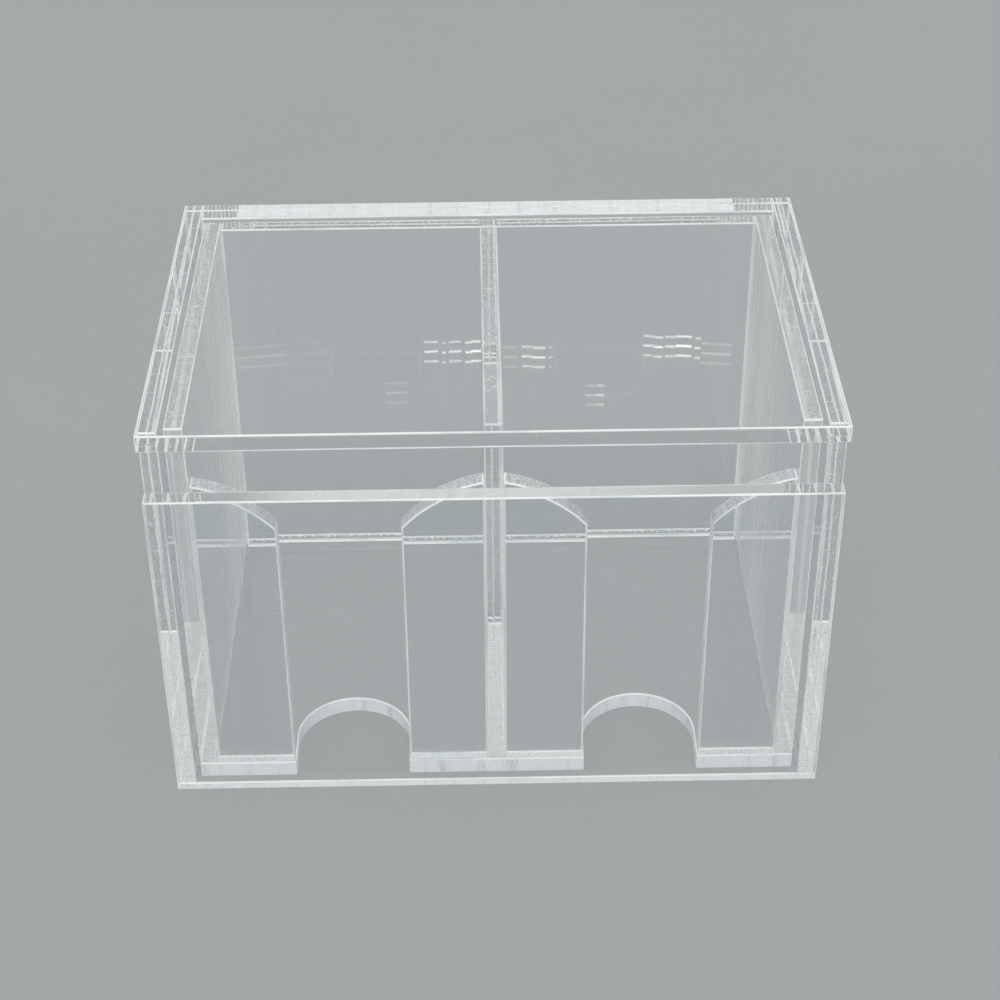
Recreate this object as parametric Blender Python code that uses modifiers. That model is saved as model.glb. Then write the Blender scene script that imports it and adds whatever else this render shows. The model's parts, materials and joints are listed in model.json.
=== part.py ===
"""Clear storage case for playing cards: an open tray with compartments, under a lift-off cover.

Every piece is a flat plate cut from one thickness of clear acrylic sheet, and the plates are
cemented edge to face. The tray's nine plates form a shell that stands on the table. The cover's
five plates form a second shell with no bottom, which is lowered over the tray.
Sizes are in metres, +Z is up and the front faces -Y. The origin is on the table, under the
middle of the cover.
"""

import math

import bpy

# Sheet, and how its plates are finished and joined
SHEET = 0.005
CEMENT = 0.0003
EDGE_BREAK = 0.0002

# Cover, over all, and the open slot between its front panel and its top plate
COVER_WIDTH = 0.181
COVER_DEPTH = 0.125
COVER_HEIGHT = 0.120
SLOT_HEIGHT = 0.0155

# Play left between the tray and the inside of the cover
SIDE_PLAY = 0.00125
FRONT_PLAY = 0.0026
BACK_PLAY = 0.0014
TOP_PLAY = 0.0005

# Tray's front panels: their width, how far the high end of the rounded top edge stays below the
# tray's rim, how far that edge falls towards the finger opening, and its radius
PANEL_WIDTH = 0.022
PANEL_DROP = 0.0153
SHOULDER_FALL = 0.0128
SHOULDER_RADIUS = 0.037

# Finger notches in the front of the tray's base plate
NOTCH_WIDTH = 0.032
NOTCH_DEPTH = 0.0272

# Straight steps that stand for one round stretch of an outline
SHOULDER_STEPS = 20
NOTCH_STEPS = 40

# Finish of the sheet
COVER_TINT = (0.94, 0.985, 0.975, 1.0)
TRAY_TINT = (0.93, 0.98, 0.97, 1.0)
ACRYLIC_IOR = 1.49
POLISHED_ROUGHNESS = 0.03
VIEWPORT_ALPHA_SHARE = 0.35

# Merge distance where a curve's caps meet its sides
WELD = 0.00001

# Cover: planes that its plates share
COVER_SIDE = COVER_WIDTH / 2
COVER_FRONT = -COVER_DEPTH / 2
COVER_BACK = COVER_DEPTH / 2
TOP_PLATE_UNDERSIDE = COVER_HEIGHT - SHEET
COVER_INSIDE_SIDE = COVER_SIDE - SHEET
COVER_INSIDE_FRONT = COVER_FRONT + SHEET
COVER_INSIDE_BACK = COVER_BACK - SHEET
COVER_PANEL_TOP = TOP_PLATE_UNDERSIDE - SLOT_HEIGHT

# Tray: planes that its plates share
TRAY_SIDE = COVER_INSIDE_SIDE - SIDE_PLAY
TRAY_FRONT = COVER_INSIDE_FRONT + FRONT_PLAY
TRAY_BACK = COVER_INSIDE_BACK - BACK_PLAY
TRAY_RIM = TOP_PLATE_UNDERSIDE - TOP_PLAY
TRAY_INSIDE_SIDE = TRAY_SIDE - SHEET
TRAY_INSIDE_BACK = TRAY_BACK - SHEET
WALL_FOOT = SHEET + CEMENT
DIVIDER_SIDE = SHEET / 2
COMPARTMENT_MIDDLE = (TRAY_INSIDE_SIDE + DIVIDER_SIDE) / 2
PANEL_TOP = TRAY_RIM - PANEL_DROP


def remove_everything():
    """Empty the file, so that only the case is in it."""
    for thing in list(bpy.data.objects):
        bpy.data.objects.remove(thing, do_unlink=True)


def clear_acrylic(name, tint):
    """A polished clear sheet material with a faint tint."""
    material = bpy.data.materials.new(name)
    material.use_nodes = True
    shader = material.node_tree.nodes["Principled BSDF"]
    shader.inputs["Base Color"].default_value = tint
    shader.inputs["Metallic"].default_value = 0
    shader.inputs["Roughness"].default_value = POLISHED_ROUGHNESS
    shader.inputs["IOR"].default_value = ACRYLIC_IOR
    shader.inputs["Transmission Weight"].default_value = 1
    material.diffuse_color = tint[:3] + (VIEWPORT_ALPHA_SHARE,)
    return material


def shell_empty(name, collection):
    """The empty that carries one shell, on the vertical line that the cover lifts along."""
    empty = bpy.data.objects.new(name, None)
    empty.empty_display_type = "PLAIN_AXES"
    empty.empty_display_size = COVER_HEIGHT
    collection.objects.link(empty)
    return empty


def finish_plate(plate, name, tint, shell, collection):
    """Name a plate, break its edges, give it its own material and hang it on its shell."""
    plate.name = name
    plate.data.name = name
    if plate.type == "CURVE":
        weld = plate.modifiers.new("Close the caps", "WELD")
        weld.merge_threshold = WELD
    chamfer = plate.modifiers.new("Scraped edges", "BEVEL")
    chamfer.width = EDGE_BREAK
    chamfer.segments = 1
    chamfer.limit_method = "ANGLE"
    plate.data.materials.append(clear_acrylic(name + "_acrylic", tint))
    for other in list(plate.users_collection):
        other.objects.unlink(plate)
    collection.objects.link(plate)
    plate.parent = shell
    return plate


def box_plate(low, high):
    """A rectangular plate between two opposite corners, its origin in its middle."""
    middle = [(a + b) / 2 for a, b in zip(low, high)]
    bpy.ops.mesh.primitive_cube_add(size=1, location=middle)
    plate = bpy.context.object
    plate.scale = [b - a for a, b in zip(low, high)]
    bpy.ops.object.transform_apply(location=False, rotation=False, scale=True)
    return plate


def arc(centre, radius, start, end, steps):
    """Points along a round stretch of an outline, both ends included; the angles are from +X."""
    turns = [start + (end - start) * step / steps for step in range(steps + 1)]
    return [(centre[0] + radius * math.cos(a), centre[1] + radius * math.sin(a)) for a in turns]


def outline_plate(outline, location, rotation=(0, 0, 0)):
    """A plate of one sheet's thickness, cut to a flat outline that is centred on the sheet."""
    curve = bpy.data.curves.new("outline", "CURVE")
    curve.dimensions = "2D"
    curve.fill_mode = "BOTH"
    curve.extrude = SHEET / 2
    spline = curve.splines.new("POLY")
    spline.points.add(len(outline) - 1)
    for point, (x, y) in zip(spline.points, outline):
        point.co = (x, y, 0, 1)
    spline.use_cyclic_u = True
    plate = bpy.data.objects.new("outline", curve)
    plate.location = location
    plate.rotation_euler = rotation
    bpy.context.scene.collection.objects.link(plate)
    return plate


def cover_top_plate():
    """Full size of the cover, on the upper edges of its walls."""
    low = (-COVER_SIDE, COVER_FRONT, TOP_PLATE_UNDERSIDE)
    high = (COVER_SIDE, COVER_BACK, COVER_HEIGHT)
    return box_plate(low, high)


def cover_front_panel():
    """Full width of the cover, on the front edges of its side walls, and lower than they are."""
    low = (-COVER_SIDE, COVER_FRONT, 0)
    high = (COVER_SIDE, COVER_INSIDE_FRONT, COVER_PANEL_TOP)
    return box_plate(low, high)


def cover_side_wall(side):
    """From the front panel to the back, under the top plate; side is -1 on the left, 1 on the right."""
    inner = side * COVER_INSIDE_SIDE
    outer = side * COVER_SIDE
    low = (min(inner, outer), COVER_INSIDE_FRONT + CEMENT, 0)
    high = (max(inner, outer), COVER_BACK, TOP_PLATE_UNDERSIDE - CEMENT)
    return box_plate(low, high)


def cover_back_wall():
    """Between the cover's side walls, flush with their back edges."""
    reach = COVER_INSIDE_SIDE - CEMENT
    low = (-reach, COVER_INSIDE_BACK, 0)
    high = (reach, COVER_BACK, TOP_PLATE_UNDERSIDE - CEMENT)
    return box_plate(low, high)


def tray_base_plate():
    """The floor of the tray, with a round-ended finger notch in front of each compartment."""
    radius = NOTCH_WIDTH / 2
    end_centre = TRAY_FRONT + NOTCH_DEPTH - radius
    outline = [(-TRAY_SIDE, TRAY_FRONT)]
    for middle in (-COMPARTMENT_MIDDLE, COMPARTMENT_MIDDLE):
        outline.append((middle - radius, TRAY_FRONT))
        outline += arc((middle, end_centre), radius, math.pi, 0, NOTCH_STEPS)
        outline.append((middle + radius, TRAY_FRONT))
    outline += [(TRAY_SIDE, TRAY_FRONT), (TRAY_SIDE, TRAY_BACK), (-TRAY_SIDE, TRAY_BACK)]
    return outline_plate(outline, (0, 0, SHEET / 2))


def tray_side_wall(side):
    """Stands on the base plate along its end; side is -1 on the left, 1 on the right."""
    inner = side * TRAY_INSIDE_SIDE
    outer = side * TRAY_SIDE
    low = (min(inner, outer), TRAY_FRONT, WALL_FOOT)
    high = (max(inner, outer), TRAY_BACK, TRAY_RIM)
    return box_plate(low, high)


def tray_back_wall():
    """Stands on the base plate, between the tray's side walls."""
    reach = TRAY_INSIDE_SIDE - CEMENT
    low = (-reach, TRAY_INSIDE_BACK, WALL_FOOT)
    high = (reach, TRAY_BACK, TRAY_RIM)
    return box_plate(low, high)


def tray_divider():
    """Stands on the base plate between the compartments, from the front to the back wall."""
    low = (-DIVIDER_SIDE, TRAY_FRONT, WALL_FOOT)
    high = (DIVIDER_SIDE, TRAY_INSIDE_BACK - CEMENT, TRAY_RIM)
    return box_plate(low, high)


def tray_front_panel(wall, inward):
    """A narrow upright beside a finger opening, its top edge rounded down towards the opening.

    It stands against the upright face at x = wall, and reaches from there towards inward, which
    is -1 or 1. The round top edge passes through its high end at the wall and its low end at the
    opening. The centre of that round lies below the middle of the line between the two ends.
    """
    across = PANEL_WIDTH
    low_end = PANEL_TOP - SHOULDER_FALL
    half_chord = math.hypot(across, SHOULDER_FALL) / 2
    below = math.sqrt(SHOULDER_RADIUS**2 - half_chord**2)
    lean = math.atan2(SHOULDER_FALL, across)
    centre_x = across / 2 - below * math.sin(lean)
    centre_z = (PANEL_TOP + low_end) / 2 - below * math.cos(lean)
    at_wall = math.acos((CEMENT - centre_x) / SHOULDER_RADIUS)
    at_opening = math.atan2(low_end - centre_z, across - centre_x)
    outline = [(CEMENT, WALL_FOOT), (across, WALL_FOOT)]
    outline += arc((centre_x, centre_z), SHOULDER_RADIUS, at_opening, at_wall, SHOULDER_STEPS)
    outline = [(inward * x, z) for x, z in outline]
    middle_y = TRAY_FRONT + SHEET / 2
    return outline_plate(outline, (wall, middle_y, 0), (math.pi / 2, 0, 0))


def build_cover(collection):
    """The five plates of the cover, carried by the empty on the line that it lifts along."""
    shell = shell_empty("cover_lift", collection)
    plates = {
        "cover_top_plate": cover_top_plate(),
        "cover_front_panel": cover_front_panel(),
        "cover_left_wall": cover_side_wall(-1),
        "cover_right_wall": cover_side_wall(1),
        "cover_back_wall": cover_back_wall(),
    }
    for name, plate in plates.items():
        finish_plate(plate, name, COVER_TINT, shell, collection)


def build_tray(collection):
    """The nine plates of the tray."""
    shell = shell_empty("tray", collection)
    plates = {
        "tray_base_plate": tray_base_plate(),
        "tray_left_wall": tray_side_wall(-1),
        "tray_right_wall": tray_side_wall(1),
        "tray_back_wall": tray_back_wall(),
        "tray_divider": tray_divider(),
        "tray_left_outer_panel": tray_front_panel(-TRAY_INSIDE_SIDE, 1),
        "tray_left_inner_panel": tray_front_panel(-DIVIDER_SIDE, -1),
        "tray_right_inner_panel": tray_front_panel(DIVIDER_SIDE, 1),
        "tray_right_outer_panel": tray_front_panel(TRAY_INSIDE_SIDE, -1),
    }
    for name, plate in plates.items():
        finish_plate(plate, name, TRAY_TINT, shell, collection)


def main():
    remove_everything()
    collection = bpy.data.collections.new("card_storage_case")
    bpy.context.scene.collection.children.link(collection)
    build_tray(collection)
    build_cover(collection)


main()
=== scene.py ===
"""The looks of a clear storage case for playing cards, laid out as an add-on and run as a script.

Every plate of the case is remade as a block of clear acrylic sheet with softened arrises, where
the frame's node for it lies. Each stretch of its skin has the finish that the maker's tools
leave: bright and rubbed faces, scraped arrises, edges that were buffed, sanded, milled, routed,
sawn or dressed on a board, and cemented edges with their air and bubbles. Sizes are in metres,
+Z is up and the front faces -Y, as in the frame.
"""

import json
import math

import bmesh
import bpy
import numpy as np
from bpy.props import FloatProperty, FloatVectorProperty, IntProperty, PointerProperty
from mathutils import Matrix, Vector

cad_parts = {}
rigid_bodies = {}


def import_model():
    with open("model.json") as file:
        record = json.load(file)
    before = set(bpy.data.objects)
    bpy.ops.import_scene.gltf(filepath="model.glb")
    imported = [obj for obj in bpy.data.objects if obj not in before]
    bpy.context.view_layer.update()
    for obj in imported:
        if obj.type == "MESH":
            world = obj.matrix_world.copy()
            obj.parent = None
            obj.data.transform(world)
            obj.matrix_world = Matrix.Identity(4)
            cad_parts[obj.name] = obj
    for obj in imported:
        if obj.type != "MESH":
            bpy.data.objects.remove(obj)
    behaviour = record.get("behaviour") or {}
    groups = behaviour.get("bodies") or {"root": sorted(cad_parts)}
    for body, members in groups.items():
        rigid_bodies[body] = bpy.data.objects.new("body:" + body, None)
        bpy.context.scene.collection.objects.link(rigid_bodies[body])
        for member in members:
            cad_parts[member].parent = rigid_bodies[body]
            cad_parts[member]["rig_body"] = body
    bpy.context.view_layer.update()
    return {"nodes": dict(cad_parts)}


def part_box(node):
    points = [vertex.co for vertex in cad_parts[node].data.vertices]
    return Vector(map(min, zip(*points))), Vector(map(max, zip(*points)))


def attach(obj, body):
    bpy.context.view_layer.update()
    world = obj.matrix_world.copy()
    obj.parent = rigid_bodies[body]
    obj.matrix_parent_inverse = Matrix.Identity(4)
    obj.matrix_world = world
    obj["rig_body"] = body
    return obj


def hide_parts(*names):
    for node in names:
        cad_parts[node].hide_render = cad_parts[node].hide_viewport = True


bl_info = {
    "name": "Clear card case",
    "version": (1, 0, 0),
    "blender": (4, 5, 0),
    "location": "View3D > Sidebar > Card Case",
    "description": "Builds a clear acrylic card case, its finishes and a small studio around it",
    "category": "Object",
}

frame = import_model()

X, Y, Z = range(3)
SAME_POINT = 0.000001
BEND = "bend"

# The way along X that the rubbed face of a plate looks; its white haze at a slant is partly a
# painted sheen
RUBBED_SHEEN_FACES = {"tray_left_wall": 1, "tray_right_wall": -1}

# Finishes of a plate's skin, in the order of its material slots
FACE, ARRIS, BUFFED, SANDED_GLINTS, MILLED, ROUTED = range(6)
SAWN, CEMENTED, CLOSED, FILLET, RUBBED_SHEEN, DRESSED = range(6, 12)

# Strip lamps of the middle row: azimuth and rise in degrees, width in metres, brightness
STRIPS = (
    (-7.24, 31.24, 0.25, 0.4),
    (-1.55, 31.36, 0.066, 2.2),
    (-1.12, 31.40, 0.016, 2.0),
    (-0.75, 31.37, 0.058, 2.0),
    (-0.30, 31.40, 0.03, 2.6),
    (-0.05, 31.37, 0.045, 3.4),
    (1.10, 31.55, 0.07, 0.7),
    (1.65, 31.53, 0.05, 2.0),
    (2.05, 31.56, 0.06, 2.6),
    (2.44, 31.54, 0.02, 1.0),
    (5.70, 31.16, 0.05, 2.0),
    (6.03, 31.19, 0.042, 2.8),
    (6.43, 31.16, 0.05, 2.2),
    (6.87, 31.13, 0.075, 3.6),
    (7.33, 31.17, 0.028, 2.0),
    (7.94, 31.3, 0.14, 0.8),
    (-2.76, 32.5, 0.1, 0.7),
    (3.84, 32.62, 0.055, 1.0),
    (4.15, 32.61, 0.035, 1.8),
)
# Rows of strip lamps: place from the lowest up, and share of the brightness
STRIP_ROWS = ((1, 0.8), (2, 1.2), (3, 0.8))
MIDDLE_ROW = 2

# Broad lights of the room: tilt from overhead towards the back in degrees, brightness, and the
# cosine of the angle from the light's middle where it begins. Where the cosine is LIGHT_EDGE
# more, it is full.
ROOM_LIGHTS = ((-55, 0.68, 0.2), (50, 0.16, 0.55))
LIGHT_EDGE = 0.4

# What every lamp looks at
CASE_MIDDLE = (0, 0, 0.06)


class CardCaseSheet(bpy.types.PropertyGroup):
    """How the sheet is cut and cemented."""

    arris: FloatProperty(
        name="Arris",
        description="Radius of the softened arris between a face and an edge",
        default=0.0004,
        min=0.00005,
        subtype="DISTANCE",
        unit="LENGTH",
    )
    corner: FloatProperty(
        name="Corner",
        description="Radius of a plate's corners, seen square to the sheet",
        default=0.0005,
        min=0.0001,
        subtype="DISTANCE",
        unit="LENGTH",
    )
    joint: FloatProperty(
        name="Joint",
        description="Thickness of the cement between two plates in the frame",
        default=0.0003,
        min=0,
        subtype="DISTANCE",
        unit="LENGTH",
    )
    film: FloatProperty(
        name="Film",
        description="What is left of that joint once the plates have drawn together",
        default=0.00004,
        min=0.00001,
        subtype="DISTANCE",
        unit="LENGTH",
    )
    squeezed: FloatProperty(
        name="Squeezed cement",
        description="Width of the line of cement along the foot of the tray's back wall",
        default=0.0009,
        min=0,
        subtype="DISTANCE",
        unit="LENGTH",
    )
    round_steps: IntProperty(
        name="Round steps",
        description="Steps round each corner of an outline",
        default=24,
        min=4,
    )
    arris_steps: IntProperty(
        name="Arris steps",
        description="Steps over each softened arris",
        default=3,
        min=1,
    )
    shoulder_fall: FloatProperty(
        name="Shoulder fall",
        description="How far the round top of a front panel falls towards the finger opening",
        default=0.0128,
        min=0.001,
        subtype="DISTANCE",
        unit="LENGTH",
    )
    shoulder_radius: FloatProperty(
        name="Shoulder radius",
        description="Radius of that round top",
        default=0.037,
        min=0.02,
        subtype="DISTANCE",
        unit="LENGTH",
    )
    notch_width: FloatProperty(
        name="Notch width",
        description="Width of a finger notch in the tray's base plate",
        default=0.032,
        min=0.01,
        subtype="DISTANCE",
        unit="LENGTH",
    )
    notch_depth: FloatProperty(
        name="Notch depth",
        description="Depth of a finger notch from the front edge",
        default=0.0272,
        min=0.01,
        subtype="DISTANCE",
        unit="LENGTH",
    )


class CardCaseFinish(bpy.types.PropertyGroup):
    """What the acrylic and its finishes are like."""

    clear: FloatVectorProperty(
        name="Clear tint",
        description="Share of light that one crossing of a face lets through",
        default=(0.99, 0.998, 0.998),
        min=0,
        max=1,
        size=3,
        subtype="COLOR",
    )
    frost: FloatVectorProperty(
        name="Frost",
        description="Colour of light scattered by a cut surface",
        default=(0.965, 0.988, 0.995),
        min=0,
        max=1,
        size=3,
        subtype="COLOR",
    )
    # Also the white of the painted sheen on rubbed faces and of the painted glints on sanded rims
    scuffs_and_sheen: FloatVectorProperty(
        name="Scuffs",
        description="Colour of fine scuffs and scratches",
        default=(0.97, 0.98, 0.985),
        min=0,
        max=1,
        size=3,
        subtype="COLOR",
    )
    onward: FloatProperty(
        name="Onward share",
        description="Share of the light on a scuff that it scatters on through the sheet",
        default=0.35,
        min=0,
        max=1,
        subtype="FACTOR",
    )
    bead_place: FloatProperty(
        name="Bead",
        description="How far across a cemented edge, arris included, its bead of cement runs",
        default=0.00273,
        min=0,
        subtype="DISTANCE",
        unit="LENGTH",
    )
    bubble_place: FloatProperty(
        name="Row of bubbles",
        description="How far across the foot of the tray's back wall its bubbles lie",
        default=0.004,
        min=0,
        subtype="DISTANCE",
        unit="LENGTH",
    )
    ior: FloatProperty(
        name="Index",
        description="Refractive index of the sheet",
        default=1.49,
        min=1,
        max=2,
    )


class CardCaseStage(bpy.types.PropertyGroup):
    """The floor, the lamps and the camera."""

    floor: FloatVectorProperty(
        name="Floor",
        description="Colour of the floor",
        default=(0.39, 0.405, 0.41),
        min=0,
        max=1,
        size=3,
        subtype="COLOR",
    )
    floor_reach: FloatProperty(
        name="Floor reach",
        description="Radius of the floor",
        default=12.0,
        min=1,
        subtype="DISTANCE",
        unit="LENGTH",
    )
    floor_drop: FloatProperty(
        name="Floor drop",
        description="How far the floor lies under the plates that stand on it",
        default=0.00005,
        min=0,
        subtype="DISTANCE",
        unit="LENGTH",
    )
    room: FloatVectorProperty(
        name="Room",
        description="Colour of the room around the floor",
        default=(0.97, 1.0, 1.0),
        min=0,
        max=1,
        size=3,
        subtype="COLOR",
    )
    softbox_place: FloatVectorProperty(
        name="Softbox place",
        description="Where the overhead softbox hangs",
        default=(-0.15, 0.2, 1.7),
        size=3,
        subtype="TRANSLATION",
        unit="LENGTH",
    )
    softbox_size: FloatVectorProperty(
        name="Softbox size",
        description="Width and height of the overhead softbox",
        default=(1.3, 0.8),
        min=0.01,
        size=2,
        subtype="XYZ",
        unit="LENGTH",
    )
    softbox_power: FloatProperty(
        name="Softbox power",
        description="Power of the overhead softbox, in watts",
        default=1.7,
        min=0,
    )
    strip_origin: FloatProperty(
        name="Strip origin",
        description="Height over the middle of the floor that the strip lamps are set out from",
        default=0.12,
        min=0,
        subtype="DISTANCE",
        unit="LENGTH",
    )
    strip_distance: FloatProperty(
        name="Strip distance",
        description="How far the strip lamps stand from that origin",
        default=9.6,
        min=1,
        subtype="DISTANCE",
        unit="LENGTH",
    )
    strip_thickness: FloatProperty(
        name="Strip thickness",
        description="Height of a strip lamp",
        default=0.0102,
        min=0.001,
        subtype="DISTANCE",
        unit="LENGTH",
    )
    strip_spacing: FloatProperty(
        name="Strip spacing",
        description="Angle between two rows of strip lamps, seen from the case",
        default=math.radians(0.273),
        min=0,
        subtype="ANGLE",
    )
    camera_place: FloatVectorProperty(
        name="Camera place",
        description="Where the camera stands",
        default=(-0.003963, -0.507625, 0.414443),
        size=3,
        subtype="TRANSLATION",
        unit="LENGTH",
    )
    lens: FloatProperty(
        name="Lens",
        description="Focal length, in millimetres",
        default=76.48,
        min=1,
    )
    sensor: FloatProperty(
        name="Sensor",
        description="Width of the camera's sensor, in millimetres",
        default=36.0,
        min=1,
    )
    yaw: FloatProperty(
        name="Yaw",
        description="Turn of the camera about the vertical",
        default=math.radians(-0.695),
        subtype="ANGLE",
    )
    pitch: FloatProperty(
        name="Pitch",
        description="How far the camera looks down",
        default=math.radians(35.323),
        subtype="ANGLE",
    )
    roll: FloatProperty(
        name="Roll",
        description="Turn of the camera about its own line of sight",
        default=math.radians(-0.456),
        subtype="ANGLE",
    )


def unit(rows):
    """Each row divided by its own length."""
    return rows / np.linalg.norm(rows, axis=-1, keepdims=True)


def rounded_outline(corners, radii, steps):
    """Points and outward normals of a closed outline, with two facts about each point.

    They are the corner that it belongs to, and if it is the last point of its round. The outline
    runs anticlockwise. A round of its own radius touches both sides of a corner: it starts
    radius * tan(turn / 2) before the corner, and its normal turns evenly from the normal of the
    side before to that of the side after. A corner of radius zero is one point of a smooth
    stretch, and its normal halves the turn.
    """
    before = unit(corners - np.roll(corners, 1, axis=0))
    after = unit(np.roll(corners, -1, axis=0) - corners)
    cross = before[:, 0] * after[:, 1] - before[:, 1] * after[:, 0]
    turn = np.arctan2(cross, (before * after).sum(axis=1))
    bend = (np.sign(turn) * radii)[:, None]
    first = np.stack([before[:, 1], -before[:, 0]], axis=1)
    start = corners - before * (radii * np.tan(np.abs(turn) / 2))[:, None]
    centre = start - first * bend
    share = np.where(radii[:, None] > 0, np.linspace(0, 1, steps + 1), 1 / 2)
    angle = (share * turn[:, None])[..., None]
    aside = np.stack([-first[:, 1], first[:, 0]], axis=1)
    normals = first[:, None] * np.cos(angle) + aside[:, None] * np.sin(angle)
    points = centre[:, None] + normals * bend[:, None]
    step = np.broadcast_to(np.arange(steps + 1), share.shape)
    kept = (radii[:, None] > 0) | (step == 0)
    corner = np.broadcast_to(np.arange(len(corners))[:, None], share.shape)
    ends = (step == steps) | (radii[:, None] == 0)
    points, normals, corner, ends = points[kept], normals[kept], corner[kept], ends[kept]
    apart = np.linalg.norm(np.roll(points, -1, axis=0) - points, axis=1) > SAME_POINT
    return points[apart], normals[apart], corner[apart], ends[apart]


def skin_rings(points, normals, low, high, radius, steps):
    """Rings of a plate's skin from its low face to its high face, with their normals.

    The skin is a function of the way along the outline and of the angle a over the arrises, from
    -90 degrees at the low face to 0 at the edge, and on to 90 at the high face. At a, it lies
    radius * (1 - cos a) inside the outline and radius * (1 - abs(sin a)) from the nearer face.
    """
    rise = np.linspace(0, math.pi / 2, steps + 1)
    angle = np.concatenate([rise - math.pi / 2, rise])
    inset = radius * (1 - np.cos(angle))
    from_face = radius * (1 - np.abs(np.sin(angle)))
    height = np.where(np.arange(len(angle)) <= steps, low + from_face, high - from_face)
    flat = points[None] - normals[None] * inset[:, None, None]
    across = np.broadcast_to(height[:, None, None], flat.shape[:2] + (1,))
    flat_normals = normals[None] * np.cos(angle)[:, None, None]
    across_normals = np.broadcast_to(np.sin(angle)[:, None, None], across.shape)
    rings = np.concatenate([flat, across], axis=2)
    return rings, np.concatenate([flat_normals, across_normals], axis=2)


def plate_mesh(name, axes, rings, ring_normals, side_finish, steps, seed):
    """A closed mesh from the rings of a plate's skin, with two flat caps.

    axes are the two axes of the outline, and the edge proper starts at ring number steps. The
    map of an edge has the way along the outline, from seed on, and the way across the thickness,
    and that of a face has the outline's own coordinates, all in metres.
    """
    third = X + Y + Z - sum(axes)
    order = [*axes, third]
    mirrored = (axes[1] - axes[0]) % 3 != 1
    count, around = rings.shape[:2]
    vertices = np.empty(rings.shape)
    vertices[..., order] = rings
    normals = np.empty(rings.shape)
    normals[..., order] = ring_normals

    index = np.arange(count * around).reshape(count, around)
    beside = np.roll(index, -1, axis=1)
    quads = np.stack([index[:-1], beside[:-1], beside[1:], index[1:]], axis=-1)
    middle = rings[steps, :, :2]
    lengths = np.linalg.norm(np.roll(middle, -1, axis=0) - middle, axis=1)
    along = seed + np.concatenate([[0], np.cumsum(lengths)])
    over = np.linalg.norm(np.diff(rings[:, 0], axis=0), axis=1)
    up = np.concatenate([[0], np.cumsum(over)])
    left, right = (
        np.broadcast_to(part, (count - 1, around)) for part in (along[:-1], along[1:])
    )
    under, above = (np.repeat(part[:, None], around, axis=1) for part in (up[:-1], up[1:]))
    turns = ((left, under), (right, under), (right, above), (left, above))
    quad_map = np.stack([np.stack(turn, axis=-1) for turn in turns], axis=2)
    low_cap, high_cap = index[0][::-1], index[-1]
    low_map, high_map = rings[0, ::-1, :2], rings[-1, :, :2]
    if mirrored:
        quads, quad_map = quads[..., ::-1], quad_map[:, :, ::-1]
        low_cap, high_cap = low_cap[::-1], high_cap[::-1]
        low_map, high_map = low_map[::-1], high_map[::-1]

    mesh = bpy.data.meshes.new(name)
    faces = quads.reshape(-1, 4).tolist() + [low_cap.tolist(), high_cap.tolist()]
    mesh.from_pydata(vertices.reshape(-1, 3), [], faces)
    on_edge = np.full((count - 1, around), ARRIS)
    on_edge[steps] = side_finish
    finish = np.concatenate([on_edge.ravel(), [FACE, FACE]]).astype(np.int32)
    mesh.polygons.foreach_set("material_index", finish)
    chart = mesh.uv_layers.new(name="Sheet")
    places = np.concatenate([quad_map.reshape(-1, 2), low_map, high_map])
    chart.uv.foreach_set("vector", places.astype(np.float32).ravel())
    bend = mesh.attributes.new(BEND, "FLOAT_VECTOR", "POINT")
    bend.data.foreach_set("vector", normals.astype(np.float32).ravel())
    return mesh


def cement_patches(node, axes, sheet):
    """Patches that cement left on a plate's faces: two ends of a box and a finish for each.

    Two plates of one shell are joined if one ends a joint's thickness from the other's face. A
    patch is the overlap of their boxes in the plane of the face, and reaches to that face only.
    The cement filled the cover's back joints. The sawn feet on the tray's base plate don't draw
    together, so they leave no patch on it, but a line of white cement was squeezed out along
    the foot of the back wall.
    """
    third = X + Y + Z - sum(axes)
    joint = sheet.joint
    low, high = (np.array(end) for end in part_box(node))
    if node == "tray_base_plate":
        start, end = (np.array(corner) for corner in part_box("tray_back_wall"))
        first = np.array((start[X], start[Y] - sheet.squeezed, high[Z] - joint))
        last = np.array((end[X], start[Y] + joint, high[Z] + joint))
        return [(first, last, ARRIS)]
    body = frame["nodes"][node]["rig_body"]
    found = []
    for other, thing in frame["nodes"].items():
        if other == node or thing["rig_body"] != body:
            continue
        start, end = (np.array(corner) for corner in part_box(other))
        over = abs(start[third] - high[third]) < 2 * joint
        under = abs(end[third] - low[third]) < 2 * joint
        first, last = np.maximum(start, low), np.minimum(end, high)
        if (over or under) and all(last[axis] - first[axis] > joint for axis in axes):
            face = high[third] if over else low[third]
            first[third], last[third] = face - joint, face + joint
            found.append((first, last, CLOSED if other == "cover_back_wall" else CEMENTED))
    return found


def cut_patches(mesh, axes, patches):
    """Cut the flat faces along the borders of the patches, and give those their finish."""
    shape = bmesh.new()
    shape.from_mesh(mesh)
    for axis in axes:
        normal = [float(axis == way) for way in (X, Y, Z)]
        for border in sorted({float(end[axis]) for patch in patches for end in patch[:2]}):
            place = [border * part for part in normal]
            everything = shape.verts[:] + shape.edges[:] + shape.faces[:]
            bmesh.ops.bisect_plane(
                shape, geom=everything, dist=SAME_POINT, plane_co=place, plane_no=normal
            )
    for face in shape.faces:
        middle = np.array(face.calc_center_median())
        for low, high, finish in patches:
            if face.material_index == FACE and (low < middle).all() and (middle < high).all():
                face.material_index = finish
    shape.to_mesh(mesh)
    shape.free()


def give_rubbed_sheen(mesh, way):
    """Give the rubbed finish, with its painted sheen, to the flat faces that look this way along
    X.
    """
    for face in mesh.polygons:
        if face.material_index == FACE and face.normal.x * way > 0.5:
            face.material_index = RUBBED_SHEEN


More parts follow.
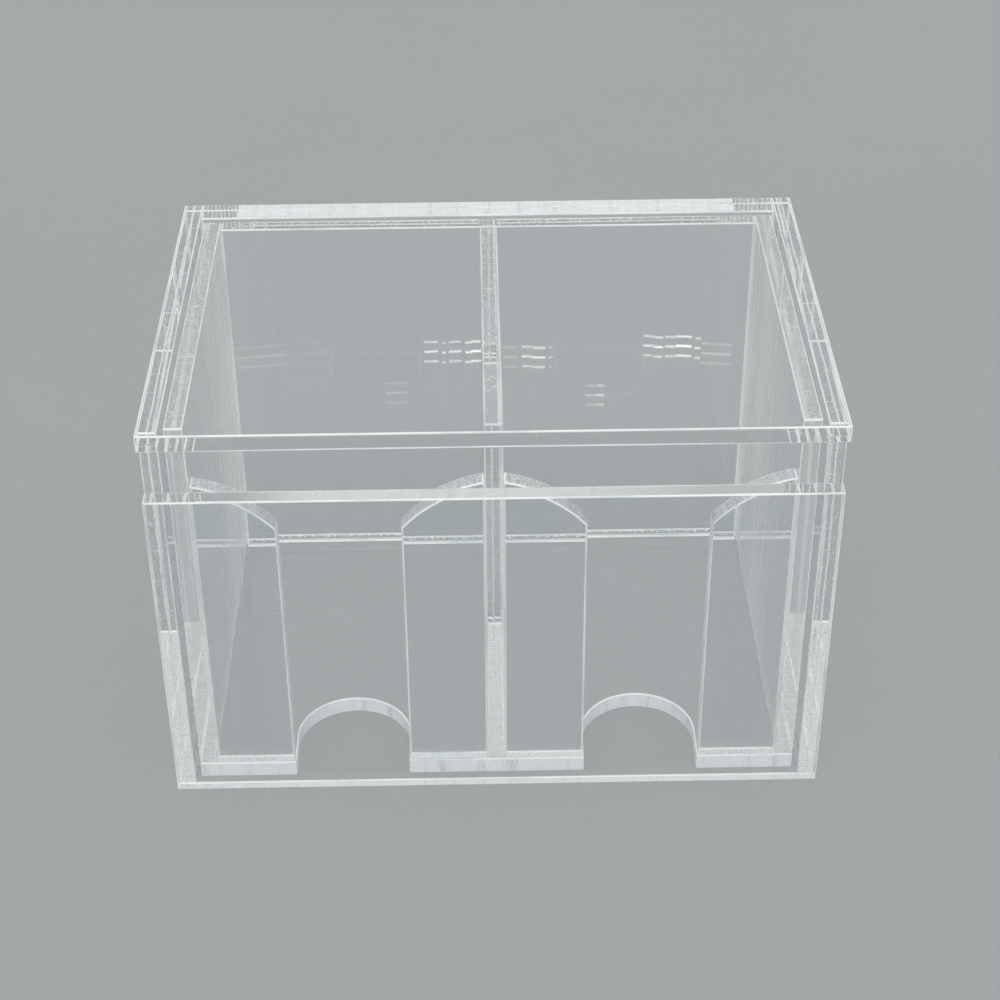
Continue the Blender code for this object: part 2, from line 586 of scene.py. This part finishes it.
def bend_light(mesh):
    """Shade the skin by its own formula's normals, which turn over each arris and round."""
    bend = mesh.attributes[BEND]
    normals = np.empty(len(mesh.vertices) * 3, np.float32)
    bend.data.foreach_get("vector", normals)
    mesh.attributes.remove(bend)
    mesh.shade_smooth()
    mesh.normals_split_custom_set_from_vertices(unit(normals.reshape(-1, 3)).tolist())


def cut_plate(node, axes, corners, radii, finishes, across):
    """Make one plate, in place of the frame's node, from its outline and its two faces.

    finishes has the finish of the side that begins at each corner. Rounds no larger than a
    plate's own corner are scraped like the arrises. The map along the edges starts at a place
    that comes from the node's name, so that no two plates have the same marks.
    """
    sheet = bpy.context.scene.card_case_sheet
    points, normals, corner, ends = rounded_outline(corners, radii, sheet.round_steps)
    rings, ring_normals = skin_rings(points, normals, *across, sheet.arris, sheet.arris_steps)
    scraped = ~ends & (radii[corner] < sheet.corner + SAME_POINT)
    side_finish = np.where(scraped, ARRIS, np.array(finishes)[corner])
    seed = sum(ord(letter) for letter in node) % 97 / 10
    name = node + "_sheet"
    mesh = plate_mesh(name, axes, rings, ring_normals, side_finish, sheet.arris_steps, seed)
    cut_patches(mesh, axes, cement_patches(node, axes, sheet))
    give_rubbed_sheen(mesh, RUBBED_SHEEN_FACES.get(node, 0))
    bend_light(mesh)
    for paint in FINISHES:
        mesh.materials.append(finish_material(paint))
    piece = bpy.data.objects.new(name, mesh)
    bpy.context.scene.collection.objects.link(piece)
    body = frame["nodes"][node]["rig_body"]
    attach(piece, body)
    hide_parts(node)
    return piece


def box_plate(node, axes, finishes, grow=((0, 0), (0, 0), (0, 0))):
    """A rectangular plate: finishes go round from the side on the low end of the second axis.

    grow has 1 for each end, low and high on each axis, that is drawn out to its neighbour.
    """
    sheet = bpy.context.scene.card_case_sheet
    drawn = sheet.joint - sheet.film
    low, high = (np.array(end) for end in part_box(node))
    low, high = low - drawn * np.array(grow)[:, 0], high + drawn * np.array(grow)[:, 1]
    third = X + Y + Z - sum(axes)
    left, under = low[list(axes)]
    right, above = high[list(axes)]
    corners = np.array([(left, under), (right, under), (right, above), (left, above)])
    radii = np.full(len(corners), sheet.corner)
    return cut_plate(node, axes, corners, radii, finishes, (low[third], high[third]))


class Reading:
    """A shader socket that takes part in sums; each operation on it adds a Math node."""

    def __init__(self, board, socket):
        self.board = board
        self.socket = socket

    def maths(self, operation, *values):
        return self.board.node("ShaderNodeMath", {"operation": operation}, dict(enumerate(values)))

    def __add__(self, other):
        return self.maths("ADD", self, other)

    __radd__ = __add__

    def __sub__(self, other):
        return self.maths("SUBTRACT", self, other)

    def __rsub__(self, other):
        return self.maths("SUBTRACT", other, self)

    def __mul__(self, other):
        return self.maths("MULTIPLY", self, other)

    __rmul__ = __mul__

    def __abs__(self):
        return self.maths("ABSOLUTE", self)

    def larger(self, other):
        return self.maths("MAXIMUM", self, other)

    def between(self, low, high):
        """0 below low and 1 above high, with a smooth rise between, or a fall if low is above."""
        limits = {"From Min": min(low, high), "From Max": max(low, high)}
        ends = (0, 1) if low < high else (1, 0)
        targets = {"To Min": ends[0], "To Max": ends[1]}
        kind = {"interpolation_type": "SMOOTHSTEP"}
        return self.board.node("ShaderNodeMapRange", kind, {"Value": self, **limits, **targets})


class Board:
    """The node tree of a material or of the world, and the ways that its patterns are made."""

    def __init__(self, owner):
        owner.use_nodes = True
        self.owner = owner
        self.tree = owner.node_tree
        self.tree.nodes.clear()

    def node(self, kind, settings=(), inputs=(), output=0):
        """Add a node, set its settings, then give its sockets values or links."""
        added = self.tree.nodes.new(kind)
        for setting, value in dict(settings).items():
            setattr(added, setting, value)
        for socket, value in dict(inputs).items():
            if isinstance(value, Reading):
                self.tree.links.new(value.socket, added.inputs[socket])
            else:
                added.inputs[socket].default_value = value
        return Reading(self, added.outputs[output]) if added.outputs else None

    def place(self, scale=(1, 1, 1), turn=(0, 0, 0), chart=False):
        """Object coordinates, or the map along a plate's edges, turned and then stretched.

        scale is in cells per metre on each axis, and turn in radians.
        """
        where = self.node("ShaderNodeTexCoord", output="UV" if chart else "Object")
        turned = self.node("ShaderNodeMapping", (), {"Vector": where, "Rotation": turn})
        return self.node("ShaderNodeMapping", (), {"Vector": turned, "Scale": scale})

    def way(self, axis, source="Object"):
        """One coordinate alone, by its letter."""
        where = self.node("ShaderNodeTexCoord", output=source)
        return self.node("ShaderNodeSeparateXYZ", (), {"Vector": where}, output=axis)

    def noise(self, scale, detail=2, rough=0.5, turn=(0, 0, 0), chart=False):
        """Smooth noise that strays either side of a half, in cells of this scale."""
        where = self.place(scale, turn, chart)
        values = {"Vector": where, "Scale": 1, "Detail": detail, "Roughness": rough}
        return self.node("ShaderNodeTexNoise", (), values)

    def cells(self, scale, chart=False):
        """The distance to the nearest of points that are scattered one to a cell."""
        values = {"Vector": self.place(scale, chart=chart), "Scale": 1, "Randomness": 1}
        return self.node("ShaderNodeTexVoronoi", (), values)

    def bead(self, middle, strays, half):
        """1 along a line that wanders along an edge, broken in places.

        It lies about middle across the edge, strays up to half of strays to either side, and is
        half wide on each side of itself, in metres.
        """
        across = self.way("Y", "UV")
        wander = self.noise((60, 0, 0), 3, 0.6, chart=True) - 0.5
        edge = self.noise((900, 900, 0), 2, 0.7, chart=True) - 0.5
        off = abs(across - middle - strays * wander - half * edge)
        unbroken = self.noise((110, 0, 0), 2, chart=True).between(0.3, 0.42)
        return off.between(half, 0.6 * half) * unbroken

    def blend(self, share, first, second):
        """A colour that goes from first to second as share goes from 0 to 1."""
        sockets = {"Factor": share, 6: (*first, 1), 7: (*second, 1)}
        return self.node("ShaderNodeMix", {"data_type": "RGBA"}, sockets, output=2)

    def bump(self, height, depth, after=None):
        """A normal bent by a height between 0 and 1 that stands for a depth in metres."""
        values = {"Height": height, "Distance": depth, "Strength": 1}
        if after is not None:
            values["Normal"] = after
        return self.node("ShaderNodeBump", (), values)

    def acrylic(
        self, colour, roughness, normal=None, transmission=1.0, passes=1.0, wetted=None, haze=None
    ):
        """The sheet itself, clear under this surface; each crossing leaves it a little tint.

        Lamps shine straight through it: for their rays, and for light that a matt surface
        gathers, it is a film that lets this share pass. Where cement has wetted it there is no
        surface left, and everything passes straight on into the next plate. Haze is the share
        of the surface that scuff marks have turned matt white; on the rubbed faces and the
        sanded rims that white is partly a painted sheen and painted glints.
        """
        finish = bpy.context.scene.card_case_finish
        values = {
            "Base Color": (*colour, 1) if isinstance(colour, tuple) else colour,
            "Roughness": roughness,
            "IOR": finish.ior,
            "Transmission Weight": transmission,
        }
        if normal is not None:
            values["Normal"] = normal
        surface = self.node("ShaderNodeBsdfPrincipled", (), values)
        # Haze: matt white of scuffs, dust, bubbles and cement, and of the painted sheen and
        # painted glints
        if haze is not None:
            white = {"Color": (*finish.scuffs_and_sheen, 1)}
            front = self.node("ShaderNodeBsdfDiffuse", (), white)
            through = self.node("ShaderNodeBsdfTranslucent", (), white)
            sides = {"Fac": finish.onward, 1: front, 2: through}
            scuffs_and_sheen = self.node("ShaderNodeMixShader", (), sides)
            sides = {"Fac": haze, 1: surface, 2: scuffs_and_sheen}
            surface = self.node("ShaderNodeMixShader", (), sides)
        shadow = self.node("ShaderNodeLightPath", output="Is Shadow Ray")
        gathered = self.node("ShaderNodeLightPath", output="Is Diffuse Ray")
        passing = shadow.larger(gathered)
        if wetted is not None:
            passing = passing.larger(wetted)
        film = self.node("ShaderNodeBsdfTransparent", (), {"Color": (passes, passes, passes, 1)})
        sides = {"Fac": passing, 1: surface, 2: film}
        surface = self.node("ShaderNodeMixShader", (), sides)
        self.node("ShaderNodeOutputMaterial", (), {"Surface": surface})


def worn_face(board, finish, rubbed):
    """The sheet's face under a faint wave, with hair scratches, dust, and perhaps rubbed streaks.

    Streaks run up the face, densest at the back, where boxes come to rest. Like all fine scuff
    marks they show where the face is seen at a slant. On the rubbed faces that white haze at a
    slant is also a painted sheen, standing in for a reflection of the bright room.
    """
    hair = board.noise((24, 900, 32), 3, 0.7, turn=(0.4, 0.7, 0.3)).between(0.72, 0.8)
    cross = board.noise((760, 28, 20), 3, 0.7, turn=(0.2, 1.1, 0.8)).between(0.72, 0.8)
    speck = board.cells((190, 190, 190)).between(0.05, 0.03)
    wave = board.noise((14, 14, 14), 1)
    normal = board.bump(wave, 0.000006)
    haze = (0.12 * hair.larger(cross)).larger(0.5 * speck)
    if rubbed:
        # Painted sheen: this white haze at a slant is partly rubs and partly stands in for a
        # reflection of the bright room
        slant = board.node("ShaderNodeLayerWeight", (), {"Blend": 0.5}, output="Facing")
        streak = board.noise((260, 260, 1.5), 4, 0.8).between(0.35, 0.7)
        zone = board.noise((22, 22, 5), 2).between(0.3, 0.65)
        deep = 0.35 + 0.95 * board.way("Y").between(-0.045, 0.052)
        rubs_and_sheen = 0.14 + 0.26 * zone + 0.36 * streak * zone
        haze = haze.larger(slant.between(0.5, 0.85) * deep * rubs_and_sheen)
    board.acrylic(tuple(finish.clear), 0.0, normal, passes=0.985, haze=haze)


def face_finish(board, finish):
    """The sheet's own faces, as they came from under their paper."""
    worn_face(board, finish, rubbed=False)


def rubbed_sheen_finish(board, finish):
    """The faces that the card boxes slide along on their way in and out: rubs and a painted sheen.
    """
    worn_face(board, finish, rubbed=True)


def arris_finish(board, finish):
    """A scraped arris: thin, white with the light that its tool marks catch, duller in places."""
    nick = board.noise((260, 260, 260), 3, 0.7)
    worn = board.noise((45, 45, 45), 2).between(0.3, 0.55)
    colour = board.blend(worn, (0.75, 0.8, 0.8), (0.97, 0.985, 0.985))
    board.acrylic(colour, 0.35 + 0.3 * nick, transmission=0.0, passes=0.9)


def buffed_finish(board, finish):
    """An edge sanded along its length and buffed clear, so that faint lines run along it."""
    grain = board.noise((12, 5200, 1), 3, 0.6, chart=True)
    board.acrylic(tuple(finish.clear), 0.0, haze=0.14 * grain.between(0.6, 0.8))


def sanded_glint_finish(board, finish):
    """A rim sanded smooth: see-through, with clumps of crossing scratches, white partly as painted
    glints.
    """
    stroke = board.noise((1500, 260, 1), 3, 0.75, turn=(0, 0, 0.5), chart=True)
    counter = board.noise((1300, 240, 1), 3, 0.75, turn=(0, 0, -0.8), chart=True)
    # Painted glints: these white strokes are partly sanding scratches and partly stand in for
    # glints
    glint_clump = board.noise((90, 240, 1), 2, chart=True).between(0.42, 0.54)
    strokes_and_glints = stroke.between(0.56, 0.62).larger(counter.between(0.58, 0.64)) * glint_clump
    board.acrylic(tuple(finish.clear), 0.0, haze=0.95 * strokes_and_glints)


def cutter_marks(board, finish, dull, low, high, coarse, patches, transmission):
    """Cutter marks square to the sheet, a cross grain and flecks, from dull to frosted white.

    coarse is the marks' share of the grain, and patches is the share of slow patches in it all.
    The surface goes from dull to white as their sum goes from low to high.
    """
    marks = board.noise((1300, 60, 1), 3, 0.7, turn=(0, 0, 0.12), chart=True)
    counter = board.noise((1500, 400, 1), 2, turn=(0, 0, -0.9), chart=True)
    fleck = board.noise((2600, 2600, 1), 2, 0.7, chart=True)
    patch = board.noise((260, 30, 1), 2, 0.6, chart=True)
    fine = coarse * marks + 0.15 * counter + (0.85 - coarse) * fleck
    mottle = ((1 - patches) * fine + patches * patch).between(low, high)
    colour = board.blend(mottle, dull, tuple(finish.frost))
    normal = board.bump(marks + 0.8 * counter, 0.0002)
    normal = board.bump(fleck, 0.0001, after=normal)
    roughness = 0.2 + 0.3 * fleck
    board.acrylic(colour, roughness, normal, transmission=transmission, passes=0.92)


def milled_finish(board, finish):
    """A milled edge: frosted white, with soft duller bands across it."""
    dull = (0.66, 0.69, 0.7)
    cutter_marks(board, finish, dull, 0.36, 0.5, coarse=0.4, patches=0.4, transmission=0.0)


def routed_finish(board, finish):
    """A round shoulder, routed faster than the rest: dark and see-through, full of flecks."""
    dull = (0.36, 0.39, 0.4)
    cutter_marks(board, finish, dull, 0.42, 0.56, coarse=0.2, patches=0.0, transmission=0.35)


def sawn_finish(board, finish):
    """An edge left as it came off the blade: a little rough and hazy, with ridges across it."""
    ridge = board.noise((700, 30, 1), 4, 0.75, turn=(0, 0, 0.08), chart=True)
    stroke = board.noise((1500, 240, 1), 3, 0.65, turn=(0, 0, 0.9), chart=True)
    patch = board.noise((90, 160, 1), 2, chart=True)
    mottle = (0.6 * ridge + 0.4 * patch).between(0.42, 0.62)
    roughness = 0.05 + 0.12 * patch.between(0.3, 0.7)
    normal = board.bump(ridge + 0.4 * stroke, 0.00005)
    board.acrylic(tuple(finish.frost), roughness, normal, haze=0.02 + 0.15 * mottle)


def dressed_finish(board, finish):
    """A sawn foot rubbed down on a board: white along its middle, and less so towards its ends."""
    aside = board.way("X")
    rub = aside.between(-0.086, -0.05) * (1 - 0.6 * aside.between(0.01, 0.08))
    patch = board.noise((260, 30, 1), 3, 0.6, chart=True).between(0.3, 0.5)
    board.acrylic(tuple(finish.frost), 0.1, haze=0.05 + rub * (0.7 + 0.2 * patch))


def closed_finish(board, finish):
    """A cemented edge that the cement filled from end to end, with a rare bubble."""
    bubble = board.cells((300, 300, 300)).between(0.14, 0.1)
    board.acrylic(tuple(finish.frost), 0.0, wetted=1 - bubble, haze=0.6 * bubble)


def fillet_finish(board, finish):
    """A cemented foot, clear inside, with a row of bubbles along its back."""
    bubble = board.cells((900, 900, 1), chart=True).between(0.42, 0.34)
    air = board.bead(finish.bubble_place, 0.0005, 0.0012) * bubble
    board.acrylic(tuple(finish.frost), 0.0, wetted=1 - air, haze=air)


def cemented_finish(board, finish):
    """A cemented edge: gone where the cement wetted it, but for streaks of air and bubbles."""
    bubble = board.cells((1100, 1100, 1), chart=True).between(0.34, 0.26)
    few = board.noise((260, 260, 1), 2, chart=True).between(0.58, 0.62)
    streak = board.noise((70, 900, 1), 4, 0.75, chart=True).between(0.63, 0.66)
    air = streak.larger(bubble * few)
    rough = board.noise((900, 2400, 1), 3, 0.7, chart=True)
    normal = board.bump(rough, 0.00005)
    bead = board.bead(finish.bead_place, 0.0014, 0.00032)
    haze = (0.3 + 0.7 * rough.between(0.4, 0.55)).larger(bead)
    board.acrylic(tuple(finish.frost), 0.0, normal, wetted=1 - air.larger(bead), haze=haze)


# In the order of the finishes' numbers
FINISHES = (
    face_finish,
    arris_finish,
    buffed_finish,
    sanded_glint_finish,
    milled_finish,
    routed_finish,
    sawn_finish,
    cemented_finish,
    closed_finish,
    fillet_finish,
    rubbed_sheen_finish,
    dressed_finish,
)


def finish_material(paint):
    """The material with this finish, painted once and shared by all the plates."""
    name = paint.__name__
    if name not in bpy.data.materials:
        paint(Board(bpy.data.materials.new(name)), bpy.context.scene.card_case_finish)
    return bpy.data.materials[name]


class CardCaseOperator(bpy.types.Operator):
    """What the case's operators share."""

    bl_options = {"REGISTER", "UNDO"}


class CARDCASE_OT_top_plate(CardCaseOperator):
    """Cover's top plate: full width and depth, on the walls, with four buffed edges"""

    bl_idname = "card_case.top_plate"
    bl_label = "Cover top plate"

    def execute(self, context):
        box_plate("cover_top_plate", (X, Y), (BUFFED, BUFFED, BUFFED, BUFFED))
        return {"FINISHED"}


class CARDCASE_OT_cover_front(CardCaseOperator):
    """Cover's front panel: buffed at the slot and the sides, dressed at its foot"""

    bl_idname = "card_case.cover_front"
    bl_label = "Cover front panel"

    def execute(self, context):
        box_plate("cover_front_panel", (X, Z), (DRESSED, BUFFED, BUFFED, BUFFED))
        return {"FINISHED"}


class CARDCASE_OT_cover_walls(CardCaseOperator):
    """Cover's side and back walls: cemented to the top plate and to each other"""

    bl_idname = "card_case.cover_walls"
    bl_label = "Cover walls"

    def execute(self, context):
        for side in ("left", "right"):
            finishes = (SAWN, BUFFED, CEMENTED, CEMENTED)
            box_plate(f"cover_{side}_wall", (Y, Z), finishes, ((0, 0), (1, 0), (0, 1)))
        finishes = (MILLED, CEMENTED, CLOSED, CEMENTED)
        box_plate("cover_back_wall", (X, Z), finishes, ((1, 1), (0, 0), (0, 1)))
        return {"FINISHED"}


class CARDCASE_OT_base_plate(CardCaseOperator):
    """Tray's base plate, with a milled finger notch in front of each compartment"""

    bl_idname = "card_case.base_plate"
    bl_label = "Tray base plate"

    def execute(self, context):
        sheet = context.scene.card_case_sheet
        low, high = (np.array(end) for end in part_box("tray_base_plate"))
        divider_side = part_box("tray_divider")[1].x
        wall_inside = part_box("tray_right_wall")[0].x
        middle = (wall_inside + divider_side) / 2
        half = sheet.notch_width / 2
        end = low[Y] + sheet.notch_depth
        outline = [(low[X], low[Y])]
        for centre in (-middle, middle):
            outline += [(centre - half, low[Y]), (centre - half, end)]
            outline += [(centre + half, end), (centre + half, low[Y])]
        front = len(outline)
        outline += [(high[X], low[Y]), (high[X], high[Y]), (low[X], high[Y])]
        back = len(outline) - front
        notch_radii = [sheet.corner, half, half, sheet.corner]
        radii = np.array([sheet.corner] + notch_radii * 2 + [sheet.corner] * back)
        finishes = [MILLED] * front + [BUFFED] * back
        across = low[Z], high[Z]
        cut_plate("tray_base_plate", (X, Y), np.array(outline), radii, finishes, across)
        return {"FINISHED"}


class CARDCASE_OT_tray_walls(CardCaseOperator):
    """Tray's side walls, back wall and divider: sanded rims with painted glints, and feet that are
    sawn or cemented
    """

    bl_idname = "card_case.tray_walls"
    bl_label = "Tray walls and divider"

    def execute(self, context):
        for side in ("left", "right"):
            finishes = (SAWN, BUFFED, SANDED_GLINTS, BUFFED)
            box_plate(f"tray_{side}_wall", (Y, Z), finishes, ((0, 0), (0, 0), (1, 0)))
        finishes = (FILLET, CEMENTED, SANDED_GLINTS, CEMENTED)
        box_plate("tray_back_wall", (X, Z), finishes, ((1, 1), (0, 0), (1, 0)))
        finishes = (SAWN, CEMENTED, SANDED_GLINTS, BUFFED)
        box_plate("tray_divider", (Y, Z), finishes, ((0, 0), (0, 1), (1, 0)))
        return {"FINISHED"}


def shoulder_arc(width, fall, radius, steps):
    """Points of a panel's round top, from its low end at (width, -fall) to its high end at (0, 0).

    The arc bulges up from the chord between them: its centre lies on that chord's bisector,
    sqrt(radius^2 - (chord / 2)^2) below its middle.
    """
    high, low = np.array((0.0, 0.0)), np.array((width, -fall))
    length = np.linalg.norm(low - high)
    below = math.sqrt(radius**2 - (length / 2) ** 2)
    centre = (high + low) / 2 - below * np.array((fall, width)) / length
    start, end = (math.atan2(*(point - centre)[::-1]) for point in (low, high))
    angle = np.linspace(start, end, steps + 1)
    return centre + radius * np.stack([np.cos(angle), np.sin(angle)], axis=1)


def front_panel(node, inward):
    """A panel with a round top, cemented to a wall, its other side along a finger opening.

    inward is the way along X from the wall to the opening. The outline is drawn from the wall's
    face at x = 0, from the foot on, and is then set in place.
    """
    sheet = bpy.context.scene.card_case_sheet
    low, high = (np.array(end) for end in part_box(node))
    wall, opening = (low[X], high[X]) if inward > 0 else (high[X], low[X])
    width = abs(opening - wall) + sheet.joint
    arc = shoulder_arc(width, sheet.shoulder_fall, sheet.shoulder_radius, sheet.round_steps)
    out, up = arc[::-1].T
    high_end = high[Z] + up.max() - np.interp(sheet.joint, out, up)
    foot = low[Z] - (sheet.joint - sheet.film)
    top = [(x, high_end + z) for x, z in arc if x > sheet.film + sheet.corner]
    joined = (sheet.film, high_end + np.interp(sheet.film, out, up))
    outline = np.array([(sheet.film, foot), (width, foot)] + top + [joined])
    radii = np.array([sheet.corner] * 3 + [0] * (len(top) - 1) + [sheet.corner])
    finishes = [SAWN, MILLED] + [ROUTED] * len(top) + [CEMENTED]
    outline[:, 0] = wall - inward * sheet.joint + inward * outline[:, 0]
    if inward < 0:
        outline, radii = outline[::-1], radii[::-1]
        finishes = finishes[-2::-1] + finishes[-1:]
    cut_plate(node, (X, Z), outline, radii, finishes, (low[Y], high[Y]))


class CARDCASE_OT_front_panels(CardCaseOperator):
    """Four narrow front panels: routed round shoulders, milled sides at the finger openings"""

    bl_idname = "card_case.front_panels"
    bl_label = "Tray front panels"

    def execute(self, context):
        panels = {"left_outer": 1, "left_inner": -1, "right_inner": 1, "right_outer": -1}
        for panel, inward in panels.items():
            front_panel(f"tray_{panel}_panel", inward)
        return {"FINISHED"}


def floor_mesh(reach, drop, rings=48, around=96):
    """A flat disc whose ring r lies at reach * (r / rings)^2, so that it is fine in the middle."""
    radius = reach * (np.arange(1, rings + 1) / rings) ** 2
    angle = np.arange(around) * 2 * math.pi / around
    flat = radius[:, None, None] * np.stack([np.cos(angle), np.sin(angle)], axis=-1)
    rim = np.concatenate([flat, np.full(flat.shape[:2] + (1,), -drop)], axis=2).reshape(-1, 3)
    index = np.arange(rings * around).reshape(rings, around)
    beside = np.roll(index, -1, axis=1)
    quads = np.stack([index[:-1], index[1:], beside[1:], beside[:-1]], axis=-1).reshape(-1, 4)
    mesh = bpy.data.meshes.new("floor")
    mesh.from_pydata(rim, [], quads.tolist() + [index[0].tolist()])
    return mesh


def floor_finish(colour):
    """A matt floor, very slightly mottled."""
    board = Board(bpy.data.materials.new("floor_finish"))
    mottle = board.noise((6, 6, 6), 3)
    pale = tuple(min(1, part * 1.03) for part in colour)
    mixed = board.blend(mottle, colour, pale)
    shader = board.node("ShaderNodeBsdfPrincipled", (), {"Base Color": mixed, "Roughness": 0.9})
    board.node("ShaderNodeOutputMaterial", (), {"Surface": shader})
    return board.owner


def room_light(colour):
    """A dim room, paler overhead, with a broad light high in front and a fainter one behind."""
    board = Board(bpy.data.worlds.new("room"))
    level = 0.3 + 0.25 * board.way("Z", "Generated").between(0.2, 0.9)
    for tilt, bright, wide in ROOM_LIGHTS:
        where = board.node("ShaderNodeTexCoord", output="Generated")
        turned = {"Vector": where, "Rotation": (math.radians(tilt), 0, 0)}
        facing = board.node("ShaderNodeMapping", (), turned)
        towards = board.node("ShaderNodeSeparateXYZ", (), {"Vector": facing}, output="Z")
        level = level + bright * towards.between(wide, wide + LIGHT_EDGE)
    light = board.node("ShaderNodeBackground", (), {"Color": (*colour, 1), "Strength": level})
    board.node("ShaderNodeOutputWorld", (), {"Surface": light})
    return board.owner


def aim(place, target):
    """A matrix that stands at place and looks at target along -Z, with its X level.

    The place is not straight above the target.
    """
    back = unit(np.array(place, float) - np.array(target, float))
    right = unit(np.cross((0, 0, 1), back))
    matrix = np.eye(4)
    matrix[:3, :3] = np.stack([right, np.cross(back, right), back], axis=1)
    matrix[:3, 3] = place
    return Matrix(matrix.tolist())


def area_lamp(name, place, size, power):
    """A rectangular lamp that looks at the middle of the case."""
    lamp = bpy.data.lights.new(name, "AREA")
    lamp.shape = "RECTANGLE"
    lamp.size, lamp.size_y = size
    lamp.energy = power
    holder = bpy.data.objects.new(name, lamp)
    holder.matrix_world = aim(place, CASE_MIDDLE)
    bpy.context.scene.collection.objects.link(holder)


def strip_lamps(stage):
    """Three rows of far, thin lamps, whose broken images show in the cover's top plate.

    A lamp's power is its brightness times its area times pi.
    """
    for number, (azimuth, rise, width, bright) in enumerate(STRIPS):
        for row, share in STRIP_ROWS:
            turn = math.radians(azimuth)
            tilt = math.radians(rise) + stage.strip_spacing * (row - MIDDLE_ROW)
            level = math.cos(tilt)
            way = np.array((math.sin(turn) * level, math.cos(turn) * level, math.sin(tilt)))
            place = np.array((0, 0, stage.strip_origin)) + stage.strip_distance * way
            power = bright * share * width * stage.strip_thickness * math.pi
            size = width, stage.strip_thickness
            area_lamp(f"strip_lamp_{number}_{row}", place, size, power)


def camera_matrix(stage):
    """The camera's axes: level and yawed, then pitched down, then rolled about its line of sight.

    The rows of the turned axes are its right, its up and its back.
    """
    level = np.array(Matrix.Rotation(stage.yaw, 3, "Z").transposed())
    pitch, roll = stage.pitch, stage.roll
    right = np.array((1.0, 0, 0))
    forward = np.array((0, math.cos(pitch), -math.sin(pitch)))
    up = np.array((0, math.sin(pitch), math.cos(pitch)))
    rolled_right = math.cos(roll) * right + math.sin(roll) * up
    rolled_up = -math.sin(roll) * right + math.cos(roll) * up
    rows = np.stack([rolled_right, rolled_up, -forward]) @ level
    matrix = np.eye(4)
    matrix[:3, :3] = rows.T
    matrix[:3, 3] = stage.camera_place
    return Matrix(matrix.tolist())


class CARDCASE_OT_stage(CardCaseOperator):
    """A plain pale floor, soft lamps, a quiet room and the camera"""

    bl_idname = "card_case.stage"
    bl_label = "Stage"

    def execute(self, context):
        scene = context.scene
        stage = scene.card_case_stage
        floor = bpy.data.objects.new("floor", floor_mesh(stage.floor_reach, stage.floor_drop))
        floor.data.materials.append(floor_finish(tuple(stage.floor)))
        scene.collection.objects.link(floor)

        size, power = tuple(stage.softbox_size), stage.softbox_power
        area_lamp("overhead_softbox", stage.softbox_place, size, power)
        strip_lamps(stage)
        scene.world = room_light(tuple(stage.room))

        camera = bpy.data.cameras.new("camera")
        camera.lens = stage.lens
        camera.sensor_width = stage.sensor
        holder = bpy.data.objects.new("camera", camera)
        holder.matrix_world = camera_matrix(stage)
        scene.collection.objects.link(holder)
        scene.camera = holder

        scene.view_settings.view_transform = "Standard"
        scene.cycles.max_bounces = 40
        scene.cycles.transmission_bounces = 40
        scene.cycles.glossy_bounces = 24
        scene.cycles.transparent_max_bounces = 64
        return {"FINISHED"}


class CARDCASE_PT_panel(bpy.types.Panel):
    """The case's operators and settings, in the 3D view's sidebar."""

    bl_idname = "CARDCASE_PT_panel"
    bl_label = "Card Case"
    bl_space_type = "VIEW_3D"
    bl_region_type = "UI"
    bl_category = "Card Case"

    def draw(self, context):
        for operator in OPERATORS:
            self.layout.operator(operator.bl_idname)
        for group in SETTINGS:
            settings = getattr(context.scene, group)
            for name in settings.bl_rna.properties.keys():
                if name not in ("rna_type", "name"):
                    self.layout.prop(settings, name)


SETTINGS = {
    "card_case_sheet": CardCaseSheet,
    "card_case_finish": CardCaseFinish,
    "card_case_stage": CardCaseStage,
}
OPERATORS = (
    CARDCASE_OT_top_plate,
    CARDCASE_OT_cover_front,
    CARDCASE_OT_cover_walls,
    CARDCASE_OT_base_plate,
    CARDCASE_OT_tray_walls,
    CARDCASE_OT_front_panels,
    CARDCASE_OT_stage,
)


def register():
    """Add the settings, the operators and the panel."""
    for group, kind in SETTINGS.items():
        bpy.utils.register_class(kind)
        setattr(bpy.types.Scene, group, PointerProperty(type=kind))
    for kind in OPERATORS + (CARDCASE_PT_panel,):
        bpy.utils.register_class(kind)


def unregister():
    """Take them all away again."""
    for kind in reversed(OPERATORS + (CARDCASE_PT_panel,)):
        bpy.utils.unregister_class(kind)
    for group, kind in SETTINGS.items():
        delattr(bpy.types.Scene, group)
        bpy.utils.unregister_class(kind)


def main():
    """Register the add-on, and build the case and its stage."""
    register()
    for operator in OPERATORS:
        group, action = operator.bl_idname.split(".")
        getattr(getattr(bpy.ops, group), action)()


if __name__ == "__main__":
    main()
